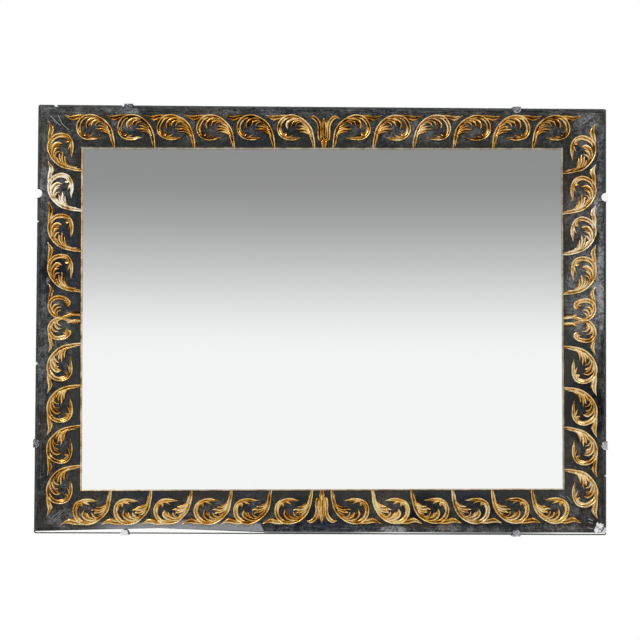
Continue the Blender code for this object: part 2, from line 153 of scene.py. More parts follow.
SCROLL = (
    Stroke(1.6, BODY, (
        (0.5, -1, 2.7), (1.1, 10, 3.2), (4.2, 24, 5.0), (9.7, 41, 5.2), (19.2, 54, 4.9),
        (32.5, 63.4, 4.8), (47.5, 67.4, 4.6), (61.5, 64.6, 4.7), (71.2, 54, 5.0), (73.9, 41, 5.2),
        (69.8, 29.6, 5.2), (59.4, 22.4, 4.6), (44, 20.4, 3.4), (27, 22, 0),
    ), (
        (0.68, 1.5, 0.0, 0.53), (0.68, 1.5, 0.46, 0.97), (-0.72, 1.0, 0.02, 0.17),
        (-0.58, 1.6, 0.50, 0.76),
    )),
    Stroke(1.9, BLADE, ((54, 67, 3.6), (72, 66.2, 5.0), (88, 64.2, 4.5), (103.5, 70.2, 0))),
    Stroke(2.0, FINGER, ((64, 64.5, 2.5), (76, 61.6, 3.0), (87.5, 57.6, 0))),
    Stroke(1.3, BODY, (
        (4.5, 21, 3.2), (9.5, 32, 4.6), (17, 39.6, 5.2), (25, 42.8, 4.4), (31, 44, 2.0),
    )),
    Stroke(1.9, LEAF, ((4.2, 19, 1.5), (9.6, 28.6, 2.7), (19, 33.6, 2.7), (30, 35.4, 0))),
    Stroke(2.3, LEAF, (
        (5.6, 22, 1.7), (12.4, 34, 3.0), (23, 39.4, 3.3), (31, 39.6, 2.4), (39.4, 41.2, 0),
    )),
    Stroke(2.2, LEAF, ((7.6, 29, 1.7), (14.6, 39.6, 3.0), (24, 45, 2.9), (34.4, 47.6, 0))),
    Stroke(2.0, LEAF, ((10.4, 38, 1.5), (16.6, 46.4, 2.6), (26.6, 52.4, 0))),
    Stroke(1.3, BODY, (
        (24, 59, 2.8), (37, 60.4, 4.8), (48, 57, 5.0), (53.6, 50, 3.8), (54.4, 45.6, 2.0),
    )),
    Stroke(2.3, LEAF, (
        (26, 61.4, 1.7), (40, 62, 3.0), (51.6, 57.4, 3.8), (57, 49.6, 3.2), (55.4, 42.4, 1.8),
    )),
    Stroke(2.1, LEAF, ((25, 58, 1.7), (36, 57.8, 2.7), (44.4, 53.4, 2.8), (47.6, 46.6, 0))),
    Stroke(1.9, LEAF, ((22.4, 54.6, 1.5), (30.6, 55, 2.3), (36.6, 51, 2.2), (38.6, 45.8, 0))),
    Stroke(2.4, BLADE, (
        (72.4, 47, 1.6), (70.4, 35, 2.8), (65.4, 28.4, 3.1), (60.4, 29, 2.5), (60.2, 32.4, 1.9),
    )),
    Stroke(2.2, BLADE, (
        (66, 23.8, 1.6), (57, 20.8, 2.8), (46, 20.2, 3.0), (36, 21.4, 2.2), (25.6, 21.8, 0),
    )),
    Stroke(1.9, FINGER, ((59, 24.6, 1.8), (50.4, 26.2, 2.3), (43.4, 29.4, 0))),
    Stroke(1.8, FINGER, ((4.4, 24, 2.5), (5.0, 16.4, 2.3), (6.2, 9.4, 0))),
)
SMALL_SCROLL = (
    Stroke(1.4, LEAF, ((8.0, -1, 4.2), (9.2, 17, 4.6), (11.8, 30.5, 0))),
    Stroke(1.7, BODY, (
        (6.6, 3, 2.4), (5.0, 26, 3.0), (0.8, 40, 3.2), (3.2, 51, 4.2), (10.8, 61, 4.5),
        (22, 66.2, 4.4), (34, 64, 4.5), (41.6, 55, 4.8), (42.2, 42.5, 4.9), (38.2, 31, 5.0),
        (31.4, 26.0, 4.8), (27.2, 29.4, 4.2),
    ), (
        (0.66, 1.4, 0.22, 0.50), (0.66, 1.5, 0.40, 0.93), (-0.62, 1.3, 0.34, 0.90),
    )),
    Stroke(2.1, BLADE, ((24, 66.6, 3.4), (43, 64.6, 3.8), (58, 62.4, 3.4), (73, 68, 0))),
    Stroke(1.9, FINGER, ((40, 63, 3.2), (50, 60, 3.0), (59, 57.2, 0))),
    Stroke(2.3, LEAF, ((6, 53, 2.2), (17, 59.0, 3.4), (26.4, 55, 3.0), (29, 46.5, 0))),
    Stroke(2.2, LEAF, ((5, 50.5, 2.0), (14.4, 54, 3.0), (21, 49.5, 2.8), (22.4, 40, 0))),
    Stroke(2.1, LEAF, ((4, 47.5, 1.7), (11, 49.6, 2.6), (17.2, 41.8, 0))),
    Stroke(2.3, FINGER, ((42.5, 44, 2.1), (39.4, 35, 3.0), (33.4, 31.8, 3.2), (31.8, 36.4, 2.1))),
)
TULIP_MIDDLE = (
    Stroke(2.2, BLADE, ((0, -1, 3.6), (0, 6, 4.8), (0, 11.2, 6.4))),
    Stroke(1.9, RIM, ((0, 8, 1.8), (0, 20, 2.0))),
    Stroke(1.3, BODY, ((0, 16.5, 6.0), (0, 24, 9.4), (0, 44, 8.2), (0, 58, 5.0), (0, 68.5, 0)), (
        (0.42, 1.0, 0.06, 0.90), (-0.42, 1.0, 0.06, 0.90),
    )),
    Stroke(2.4, LEAF, ((0, 17, 1.4), (0, 24, 2.3), (0, 44, 2.3), (0, 60, 1.3))),
)
TULIP_SIDE = (
    Stroke(1.8, BODY, (
        (2, 16, 1.5), (8.0, 19.2, 3.8), (10.0, 30, 3.8), (9.8, 44, 3.9), (12.0, 54, 4.4),
        (17.6, 62, 4.4), (24.8, 66, 3.4), (32.6, 64.2, 0),
    ), ((0.70, 1.2, 0.05, 0.92), (-0.66, 1.3, 0.06, 0.95))),
    Stroke(2.2, FINGER, ((1.6, 22, 1.4), (3.6, 34, 1.9), (6.0, 48, 2.1), (7.2, 61, 0))),
)

# The rows of motifs: the side it lies on, whether it runs upright, how far it has slipped along
# its side, how much lighter or darker and how much paler its gilding is, and its random seed.
Row = namedtuple("Row", "name side upright slip tone pale seed")
ROWS = (
    Row("top", 1, False, 0.0030, -0.27, 0.03, 41),
    Row("bottom", -1, False, -0.0025, 0.00, 0.0, 42),
    Row("left", -1, True, 0.0020, -0.09, 0.08, 43),
    Row("right", 1, True, -0.0045, 0.04, 0.16, 44),
)
# Scrolls whose gold is pale, near the cream ground, by wear and a painted highlight: row, number in
# it, and how pale
PALE_SCROLLS = {
    ("left", 2): 1.0, ("top", 7): 0.2, ("top", 2): 0.2, ("top", 3): 0.1, ("right", 1): 0.4,
    ("bottom", 3): 0.45,
}

# Across the fillet, from the mirror to the border: place, share of the height, tone
FILLET_SECTION = (
    (-1, 0, 0.10), (-0.88, 0.45, 0.45), (-0.50, 0.80, 0.88), (-0.15, 1.0, 0.94), (0.10, 0.96, 0.60),
    (0.30, 0.72, 0.18), (0.60, 0.46, 0.03), (0.90, 0.25, 0.0), (1, 0, 0),
)


def link(obj):
    bpy.context.scene.collection.objects.link(obj)
    return obj


def shares(count):
    return np.linspace(0, 1, count + 1)


def clipped(values):
    return np.clip(values, 0, 1)


def lengths(vectors):
    return np.linalg.norm(vectors, axis=-1)


def directions(points):
    ways = np.gradient(points[:, :2], axis=0)
    return ways / lengths(ways)[:, None]


def lengths_along(points):
    return np.concatenate(([0], np.cumsum(lengths(np.diff(points[:, :2], axis=0)))))


def smooth_line(stations, step):
    """Points about a step apart on a smooth curve through the stations, widths included."""
    knots = np.array(stations, float)
    spans = lengths(np.diff(knots[:, :2], axis=0))
    slopes = np.diff(knots, axis=0) / spans[:, None]
    inner = slopes[:-1] * spans[1:, None] + slopes[1:] * spans[:-1, None]
    inner /= (spans[:-1] + spans[1:])[:, None]
    tangents = np.vstack((slopes[:1], inner, slopes[-1:]))
    pieces = []
    for i, span in enumerate(spans):
        t = shares(max(2, math.ceil(span / step)))[:, None]
        rise, fall = tangents[i] * span, tangents[i + 1] * span
        curve = (
            knots[i] * (2 * t**3 - 3 * t**2 + 1) + rise * (t**3 - 2 * t**2 + t)
            + knots[i + 1] * (3 * t**2 - 2 * t**3) + fall * (t**3 - t**2)
        )
        pieces.append(curve if i == len(spans) - 1 else curve[:-1])
    line = np.vstack(pieces)
    line[:, 2] = np.maximum(line[:, 2], TIP_HALF_MM)
    return line


def with_round_end(line):
    """The line with its blunt end drawn out to a half circle."""
    way = directions(line)[-1]
    half = line[-1, 2]
    angles = np.radians((25, 50, 70, 85))
    ends = line[-1, :2] + way * half * np.sin(angles)[:, None]
    halves = np.maximum(half * np.cos(angles), TIP_HALF_MM)
    return np.vstack((line, np.column_stack((ends, halves))))


def rim_beside(line, share, half, start, end):
    """A thin line beside a stroke's middle line, tapered at both of its ends."""
    first, last = round(start * (len(line) - 1)), round(end * (len(line) - 1))
    ways = directions(line)
    aside = np.column_stack((-ways[:, 1], ways[:, 0])) * line[:, 2:3] * share
    points = (line[:, :2] + aside)[first:last + 1]
    along = lengths_along(points)
    to_end = np.minimum(along, along[-1] - along)
    halves = half * clipped(to_end / RIM_TAPER_MM) ** RIM_TAPER_POWER
    if start == 0:
        halves[along < along[-1] / 2] = half
    halves = np.minimum(halves, line[first:last + 1, 2] * RIM_MOST_SHARE)
    return np.column_stack((points, np.maximum(halves, TIP_HALF_MM)))


def smooth_mesh(name, points, faces, sharp_degrees, **attributes):
    """A smooth mesh with edges sharp past an angle and, by attribute, a value for each point."""
    mesh = bpy.data.meshes.new(name)
    mesh.from_pydata(np.vstack(points).tolist(), [], faces)
    for key, values in attributes.items():
        layer = mesh.attributes.new(key, "FLOAT", "POINT")
        layer.data.foreach_set("value", np.ascontiguousarray(values, np.float32))
    mesh.shade_smooth()
    mesh.set_sharp_from_angle(angle=math.radians(sharp_degrees))
    return mesh


def grey_stops(tones):
    return [(position, (tone, tone, tone)) for position, tone in tones]


def loft_faces(first, second):
    """Quads between rows of point numbers, over the section and across its flat back."""
    top = np.stack((first[:, :-1], first[:, 1:], second[:, 1:], second[:, :-1]), -1)
    under = np.stack((first[:, -1], first[:, 0], second[:, 0], second[:, -1]), -1)
    return [*top.reshape(-1, 4).tolist(), *under.tolist()]


def closed_loft_faces(number):
    """Quads from each row of point numbers to the next, and a face over each end."""
    return [*loft_faces(number[:-1], number[1:]), number[0, ::-1].tolist(), number[-1].tolist()]


class Place:
    """Where a motif stands: its foot on the fillet, its way along it and its way out."""

    def __init__(self, foot, along, outward):
        self.foot, self.along, self.outward = map(np.array, (foot, along, outward))
        self.mirrored = along[0] * outward[1] - along[1] * outward[0] < 0

    def points(self, u, v, up):
        flat = self.foot + (self.along * u[..., None] + self.outward * v[..., None]) * MM
        depth = RELIEF_BASE - up * RELIEF_SCALE
        return np.stack((flat[..., 0], depth, flat[..., 1]), -1).reshape(-1, 3)


class Relief:
    """Closed strokes gathered into one mesh, each point with its tone and its paleness."""

    def __init__(self):
        self.points, self.faces, self.tones, self.pales = [], [], [], []
        self.count = 0

    def add_stroke(self, line, height, section, place, tone_shift, pale, round_end=False):
        """Lofts the section along the line and closes it with a flat back and two ends."""
        across, lift, tone = np.array(section).T
        ways = directions(line)
        half = line[:, 2:3]
        along = lengths_along(line)[:, None]
        rise = clipped(half / half.max()) ** STROKE_HEIGHT_POWER
        rise *= ROOT_HEIGHT + (1 - ROOT_HEIGHT) * clipped(along / ROOT_RISE_MM)
        u = line[:, :1] - ways[:, 1:] * half * across
        v = line[:, 1:2] + ways[:, :1] * half * across
        at_tip = clipped((along / along[-1] - TIP_LIGHT_FROM) / (1 - TIP_LIGHT_FROM))
        at_root = clipped(1 - along / ROOT_SHADE_MM)
        tones = tone + TIP_LIGHT * at_tip - ROOT_SHADE * at_root
        if round_end:
            tones -= ROUND_END_SHADE * clipped(1 - (along[-1] - along) / ROUND_END_MM)
        self.points.append(place.points(u, v, height * rise * lift))
        self.tones.append((tones + tone_shift).ravel())
        self.pales.append(np.full(u.size, pale))
        faces = closed_loft_faces(np.arange(u.size).reshape(u.shape) + self.count)
        self.faces += faces if place.mirrored else [face[::-1] for face in faces]
        self.count += u.size

    def mesh(self, name):
        tones, pales = np.concatenate(self.tones), np.concatenate(self.pales)
        mesh = smooth_mesh(name, self.points, self.faces, 58, tone=tones, pale=pales)
        mesh.transform(CARVING_PLACE)
        return mesh


def row_motifs(row):
    """Every motif of a row with its place."""
    if row.upright:
        feet, crown = SHORT_SIDE_FEET, SMALL_SCROLL
        middle, along, outward = (row.side * FILLET_X, row.slip), (0, 1), (row.side, 0)
    else:
        feet, crown = LONG_SIDE_FEET, TULIP_SIDE
        middle, along, outward = (row.slip, row.side * FILLET_Z), (1, 0), (0, row.side)
    middle, along = np.array(middle), np.array(along)
    motifs = []
    for end in (1, -1):
        for distance in feet:
            motifs.append((SCROLL, Place(middle + along * end * distance, along * end, outward)))
        motifs.append((crown, Place(middle, along * end, outward)))
    if not row.upright:
        motifs.append((TULIP_MIDDLE, Place(middle, along, outward)))
    return motifs


def add_motif(relief, strokes, place, row, worn, rng):
    """Lofts a motif's strokes, each a little off, as a carver's hand leaves them."""
    is_tulip = strokes in (TULIP_MIDDLE, TULIP_SIDE)
    shift_share, pale_share = (TULIP_SHIFT_SHARE, TULIP_PALE_SHARE) if is_tulip else (1, 1)
    tone_shift = row.tone + rng.normal(0, MOTIF_TONE) + PALE_SCROLL_TONE * worn
    pale = float(clipped(row.pale + rng.normal(0, MOTIF_PALE) + worn)) * pale_share
    for stroke in strokes:
        stations = np.array(stroke.stations, float)
        stations[:, :2] += rng.normal(0, HAND_SHIFT_MM, (len(stations), 2)) * shift_share
        stations[:, 2] *= 1 + rng.normal(0, HAND_WIDTH, len(stations))
        line = smooth_line(stations, STEP_MM)
        round_end = line[-1, 2] > BLUNT_END_MM
        if round_end:
            line = with_round_end(line)
        stroke_tone = tone_shift + rng.normal(0, STROKE_TONE)
        relief.add_stroke(line, stroke.height, stroke.section, place, stroke_tone, pale, round_end)
        for share, half, start, end in stroke.rims:
            rim = rim_beside(line, share, half, start, end)
            height = stroke.height + RIM_LIFT_MM * min(1, half)
            relief.add_stroke(rim, height, RIM, place, tone_shift * RIM_TONE_SHARE, pale)


def new_material(name):
    """The maker of a new material's nodes, and the place on the object as a value."""
    material = bpy.data.materials.new(name)
    material.use_nodes = True
    make = NodeMaker(material.node_tree, material)
    return make, make.out("ShaderNodeTexCoord", output="Object")


class Value:
    """A node's output, from which plain arithmetic and these calls make further nodes."""

    def __init__(self, make, socket):
        self.make, self.socket = make, socket

    def math(self, operation, *others, swapped=False, clamp=False):
        inputs = enumerate((*others, self) if swapped else (self, *others))
        return self.make.out("ShaderNodeMath", inputs, operation=operation, use_clamp=clamp)

    __add__ = __radd__ = partialmethod(math, "ADD")
    __sub__ = partialmethod(math, "SUBTRACT")
    __rsub__ = partialmethod(math, "SUBTRACT", swapped=True)
    __mul__ = partialmethod(math, "MULTIPLY")
    __truediv__ = partialmethod(math, "DIVIDE")
    __abs__ = partialmethod(math, "ABSOLUTE")
    __lt__ = partialmethod(math, "LESS_THAN")
    __gt__ = partialmethod(math, "GREATER_THAN")
    larger = partialmethod(math, "MAXIMUM")
    smaller = partialmethod(math, "MINIMUM")

    def vector(self, operation, *others, output=0):
        inputs = enumerate((self, *others))
        return self.make.out("ShaderNodeVectorMath", inputs, output, operation=operation)

    scaled = partialmethod(vector, "MULTIPLY")
    shifted = partialmethod(vector, "SUBTRACT")
    dot = partialmethod(vector, "DOT_PRODUCT", output="Value")

    def split(self):
        outputs = self.make.node("ShaderNodeSeparateXYZ", {0: self}).outputs
        return [Value(self.make, output) for output in outputs]

    def noise(self, scale, detail=3.0, roughness=0.55, distortion=0.0):
        names = ("Vector", "Scale", "Detail", "Roughness", "Distortion")
        inputs = zip(names, (self, scale, detail, roughness, distortion))
        return self.make.out("ShaderNodeTexNoise", inputs)

    def voronoi(self, scale):
        return self.make.out("ShaderNodeTexVoronoi", {"Vector": self, "Scale": scale})

    def ramp(self, low, high, to_low=0.0, to_high=1.0, kind="SMOOTHSTEP"):
        inputs = enumerate((self, low, high, to_low, to_high))
        return self.make.out("ShaderNodeMapRange", inputs, interpolation_type=kind)

    def colors(self, stops):
        node = self.make.node("ShaderNodeValToRGB", {0: self})
        elements = node.color_ramp.elements
        elements.remove(elements[1])
        elements[0].position = stops[0][0]
        for number, (position, color) in enumerate(stops):
            stop = elements.new(position) if number else elements[0]
            stop.color = (*color, 1)
        return Value(self.make, node.outputs[0])

    def mix(self, *colors):
        """From the first colour to the second, as the value goes from 0 to 1."""
        first, second = ((*color, 1) if isinstance(color, tuple) else color for color in colors)
        return self.make.out("ShaderNodeMix", {0: self, 6: first, 7: second}, 2, data_type="RGBA")


class NodeMaker:
    """Short calls for the shader nodes that the materials share."""

    def __init__(self, tree, material=None):
        self.tree, self.material = tree, material

    def put(self, socket, value):
        if isinstance(value, Value):
            self.tree.links.new(value.socket, socket)
        else:
            socket.default_value = value

    def node(self, kind, inputs=(), **settings):
        """A new node with its settings, its sockets filled by their names or numbers."""
        node = self.tree.nodes.new(kind)
        for key, value in settings.items():
            setattr(node, key, value)
        for key, value in dict(inputs).items():
            self.put(node.inputs[key], value)
        return node

    def out(self, kind, inputs=(), output=0, **settings):
        return Value(self, self.node(kind, inputs, **settings).outputs[output])

    def attribute(self, name):
        return self.out("ShaderNodeAttribute", output="Fac", attribute_name=name)

    def join(self, *coordinates):
        return self.out("ShaderNodeCombineXYZ", enumerate(coordinates))

    def bump(self, height, strength, distance):
        inputs = {"Height": height, "Strength": strength, "Distance": distance}
        return self.out("ShaderNodeBump", inputs)

    def finish(self, **values):
        """Fills the shader's sockets and gives the material."""
        shader = self.tree.nodes["Principled BSDF"]
        for name, value in values.items():
            self.put(shader.inputs[name.replace("_", " ")], value)
        return self.material


def gilt_material():
    """Old gilding: pale rubbed rims, warm gold, brown hollows, fine pits and rubbed-through places;
    the hollows and the dull places carry painted shade too, and the palest rims a painted highlight.
    """
    make, place = new_material("old_gilding")
    cloud = place.noise(42, 5, 0.6)
    fine = place.noise(420, 3, 0.6)
    pits = place.voronoi(900)
    tone = make.attribute("tone") + cloud.ramp(0.32, 0.68, -0.27, 0.17)
    tone = tone.math("ADD", fine.ramp(0.3, 0.7, -0.05, 0.04), clamp=True)
    gold = tone.colors((
        (0.0, (0.030, 0.011, 0.002)), (0.20, (0.13, 0.045, 0.005)), (0.40, (0.56, 0.225, 0.022)),
        (0.60, (0.95, 0.46, 0.065)), (0.80, (1.0, 0.66, 0.19)), (1.0, (1.0, 0.85, 0.48)),
    ))
    cream = tone.colors((
        (0.0, (0.07, 0.050, 0.026)), (0.30, (0.54, 0.39, 0.19)), (0.65, (0.98, 0.85, 0.56)),
        (1.0, (1.0, 0.98, 0.86)),
    ))
    pale = make.attribute("pale") * cloud.ramp(0.30, 0.50)
    pale *= tone.ramp(0.30, 0.75, 0.45, 1.0)
    worn = make.attribute("worn")
    # Dull grey-brown where the gilding is gone: wear, and on the fillet's darker sides painted shade
    bare_and_shaded = tone.colors((
        (0.0, (0.030, 0.028, 0.022)), (0.35, (0.16, 0.145, 0.100)), (1.0, (0.42, 0.39, 0.30)),
    ))
    metal = 0.92 - pale.larger(worn) * 0.75
    return make.finish(
        Base_Color=worn.mix(pale.mix(gold, cream), bare_and_shaded),
        # Less metal on the highest tones makes the rims brighter under the lamps: a painted highlight
        Metallic=metal * tone.ramp(0.66, 1.0, 1.0, 0.30),
        Roughness=fine.ramp(0.25, 0.75, 0.22, 0.38),
        Normal=make.bump(fine * 0.7 + pits.ramp(0.0, 0.4, 0.0, 0.3), 0.14, 0.0006),
    )


# Scratches on the border, in millimetres: from (x, z) to (x, z), half width and strength
SCRATCHES = (
    (-573.7, 426, -553.6, 406, 0.5, 0.9), (-558, 428.2, -549.5, 409.2, 0.45, 0.8),
    (-549.5, 409.2, -534.7, 396.6, 0.5, 0.8), (-566, 415, -560, 409, 0.4, 0.5),
    (544.4, 415.3, 561.5, 426, 0.45, 0.5), (550.8, 417.4, 565.7, 430.3, 0.4, 0.5),
    (565.7, 415.4, 576.3, 426.1, 0.4, 0.45), (541, 424, 549, 431, 0.4, 0.4),
    (-564.1, -419.3, -543.4, -401.6, 0.45, 0.6), (-559, -422.5, -535.1, -398.5, 0.4, 0.5),
    (-555.7, -423.5, -541, -411, 0.4, 0.45), (517.2, -368.3, 527.7, -383, 0.5, 0.7),
    (502.4, -366.2, 512.9, -372.5, 0.5, 0.6), (562, -415.5, 571, -419.5, 0.6, 0.9),
    (562.5, -422.8, 571.5, -425, 0.5, 0.8), (561, -434.3, 571, -436.5, 0.6, 0.9),
)

# Clouded places of the border, in millimetres: middle (x, z), half sizes and strength
CLOUDS = (
    (589, 85, 9, 110, 1.5), (580, 20, 14, 110, 0.60), (-565, 434, 70, 14, 0.35),
    (-420, 441, 46, 9, 0.60), (558, 425, 34, 18, 0.45), (150, -440, 27, 9, 3.0),
    (-584, 250, 12, 130, 0.42), (-586, -70, 10, 150, 0.42), (300, -439, 120, 9, 0.45),
    (-535, -420, 44, 22, 0.60), (-575, 78, 4, 9, 1.0), (520, -380, 30, 30, 0.2),
    (480, -436, 60, 9, 0.45), (-100, 425, 12, 25, 0.5), (584, 250, 10, 60, 0.9),
    (552, 62, 42, 100, 0.85), (548, 230, 40, 60, 0.45), (-414, 422, 36, 26, 0.5),
    (190, 405, 80, 42, 0.22), (570, 400, 40, 44, 0.30), (-566, -10, 20, 60, 0.25),
)
# Places where the border is deep black, with little haze, in the same terms
DEEP_PLACES = (
    (552, -190, 50, 75, 1.0), (220, -401, 36, 46, 1.0), (330, -400, 60, 40, 0.6),
    (-50, -401, 40, 40, 0.5), (-562, 99, 30, 34, 0.7), (-80, 401, 70, 34, 0.35),
    (550, -300, 40, 40, 0.4), (-550, -300, 40, 70, 0.3),
)
# Where the black is bluish, and where it is brown, a painted reflection, in the same terms
BLUE_PLACES = ((5, -434, 128, 16, 1.0), (0, -395, 60, 30, 0.5), (-565, 245, 30, 60, 0.5))
BROWN_REFLECTION_PLACES = ((262, -431, 16, 11, 0.8), (215, -428, 30, 12, 0.35), (140, -380, 34, 22, 0.25))
# The even grey patch along the left part of the bottom, a painted reflection: its ends, its top and
# its right end's slant
GREY_FROM, GREY_FULL_FROM, GREY_TO = -0.500, -0.410, -0.119
GREY_TOP, GREY_SLANT = -0.421, 0.45


def scratch_mask(make, flat):
    """The strength of the scratches: high on a thin line between each pair of ends."""
    mask = 0.0
    for x0, z0, x1, z1, half, strength in SCRATCHES:
        start, way = Vector((x0, 0, z0)) * MM, Vector((x1 - x0, 0, z1 - z0)) * MM
        offset = flat.shifted(tuple(start))
        share = offset.dot(tuple(way / way.length_squared))
        share = share.larger(0.0).smaller(1.0)
        nearest = make.join(share * way.x, 0.0, share * way.z)
        distance = offset.vector("DISTANCE", nearest, output="Value")
        line = distance.ramp(half * MM * 0.3, half * MM * 1.7, strength, 0.0)
        mask = line.larger(mask)
    return mask


def place_mask(flat, places):
    """The strengths of the oval places, added up where they meet, with soft edges."""
    mask = 0.0
    for x, z, half_x, half_z, strength in places:
        offset = flat.shifted((x * MM, 0, z * MM))
        offset = offset.scaled((1 / (half_x * MM), 0, 1 / (half_z * MM)))
        distance = offset.vector("LENGTH", output="Value")
        mask += distance.ramp(0.70, 1.15, strength, 0.0)
    return mask


def flake_mask(flat):
    """The broken patch at the lower right corner: a leaning rectangle with ragged sides."""
    offset = flat.shifted((FLAKE_MIDDLE[0], 0, FLAKE_MIDDLE[1]))
    reach = 0.0
    for (x, z), half in zip(FLAKE_WAYS, FLAKE_HALF_SIZES):
        reach = (abs(offset.dot((x, 0, z))) / half).larger(reach)
    ragged = flat.noise(260, 3, 0.7).ramp(0.3, 0.7, -0.22, 0.22)
    return (reach + ragged).ramp(0.94, 1.04, 1.0, 0.0)


def border_haze(place, flat, broad, mottle, speckle):
    """Grey haze with streaks along the edges, and the deep black places that have little of it."""
    x, _, z = flat.split()
    inside_x = HALF_WIDTH - abs(x)
    inside_z = HALF_HEIGHT - abs(z)
    from_edge = inside_x.smaller(inside_z)
    upright = (inside_z - inside_x).ramp(-0.004, 0.004)
    level_streak = place.scaled((22, 22, 300)).noise(1, 5, 0.75)
    upright_streak = place.scaled((300, 22, 22)).noise(1, 5, 0.75)
    streak = upright_streak * upright + level_streak * (1.0 - upright)
    margin = from_edge.ramp(0.012, 0.028, 1.0, 0.25)
    streak = streak.ramp(0.48, 0.72) * margin
    haze = mottle * broad.ramp(0, 1, 0.30, 0.95) + streak * 0.75
    haze += speckle * broad.ramp(0, 1, 0.20, 0.75)
    haze *= from_edge.ramp(0.060, 0.086).ramp(0, 1, 1.0, 0.40)
    deep = place_mask(flat, DEEP_PLACES).ramp(0.0, 1.0)
    return haze * deep.ramp(0, 1, 1.0, 0.30), deep


def border_black(place, flat, deep):
    """The black under the haze, bluish or deep in places, and brownish in others, a painted
    reflection.
    """
    black = place.noise(5.0, 3).colors((
        (0.34, (0.030, 0.019, 0.016)), (0.44, (0.021, 0.021, 0.017)),
        (0.54, (0.016, 0.019, 0.017)), (0.64, (0.011, 0.014, 0.026)),
    ))
    blue, brown = (
        place_mask(flat, places).ramp(0.0, 1.0) for places in (BLUE_PLACES, BROWN_REFLECTION_PLACES)
    )
    black = blue.mix(black, (0.010, 0.013, 0.026))
    black = deep.mix(black, (0.004, 0.004, 0.006))
    # Brown places: painted reflection
    return brown.mix(black, (0.115, 0.075, 0.050))


def reflection_patch(flat, broad):
    """A painted reflection: the even grey patch along the left part of the bottom, with a wavy top.
    """
    x, _, z = flat.split()
    wavy = z + broad.ramp(0, 1, -0.004, 0.004)
    grey_end = x + (z + HALF_HEIGHT) * GREY_SLANT
    below_top = wavy.ramp(GREY_TOP - 0.008, GREY_TOP, 1.0, 0.0)
    before_end = grey_end.ramp(GREY_TO, GREY_TO + 0.004, 1.0, 0.0)
    return x.ramp(GREY_FROM, GREY_FULL_FROM) * below_top * before_end


def border_material():
    """Dark border: black glass clouded with grey haze, streaked along the edges, scratched, with
    painted reflections in grey and brown along the bottom.
    """
    make, place = new_material("dark_glass")
    flat = place.scaled((1, 0, 1))
    broad = place.noise(7, 4, 0.6, 0.5).ramp(0.35, 0.68)
    mottle = place.noise(80, 6, 0.78, 0.3).ramp(0.42, 0.70)
    speckle = place.noise(260, 4, 0.75).ramp(0.53, 0.66)
    haze, deep = border_haze(place, flat, broad, mottle, speckle)
    grain = mottle * 0.6 + speckle * 0.6
    clouds = place_mask(flat, CLOUDS) * (grain + 0.08)
    dust = place.voronoi(120).ramp(0.05, 0.10, 1.0, 0.0)
    dust *= place.noise(24, 2).ramp(0.58, 0.66)
    marks = scratch_mask(make, flat).larger(dust * 0.5)
    grey = mottle.mix((0.29, 0.30, 0.32), (0.38, 0.38, 0.39))
    black = border_black(place, flat, deep)
    dark = (haze * 0.55).mix(black, (0.205, 0.205, 0.205))
    dark = clouds.mix(dark, (0.340, 0.345, 0.355))
    # Painted reflection, grey, along the left part of the bottom
    dark = reflection_patch(flat, broad).mix(dark, grey)
    dark = (marks * 0.7).mix(dark, (0.60, 0.61, 0.63))
    broken = flake_mask(flat)
    facet = flat.noise(110, 2, 0.6, 0.4).ramp(0.40, 0.47)
    flake_color = facet.mix((0.36, 0.36, 0.46), (1.0, 1.0, 1.0))
    return make.finish(
        Base_Color=broken.mix(dark, flake_color),
        Roughness=haze * 0.20 + marks * 0.3 + 0.06,
        Specular_IOR_Level=0.35,
        Normal=make.bump(marks + place.noise(700, 3) * broken, 0.15, 0.0004),
    )


def mirror_material():
    """Silvered middle: clean, with a breath of haze and tiny spots in the silver."""
    make, place = new_material("silvered_glass")
    haze = place.noise(6, 3, 0.5)
    spots = place.voronoi(55).ramp(0.012, 0.02, 1.0, 0.0)
    spots *= place.noise(9, 2).ramp(0.60, 0.68)
    return make.finish(
        Base_Color=(spots * 0.5).mix((0.905, 0.915, 0.912), (0.45, 0.45, 0.44)),
        Metallic=1.0,
        Roughness=haze.ramp(0.35, 0.65, 0.008, 0.03),
    )


# How bright the painted highlight line along the bottom bevel is, at x from -0.2 to 0.6 metres
HIGHLIGHT_LINE_TONES = (
    (0.09, 0.45), (0.12, 0.22), (0.31, 0.22), (0.36, 0.48), (0.44, 0.78), (0.53, 0.60), (0.60, 0.34),
    (0.73, 0.22), (0.80, 0.55), (0.88, 0.95),
)


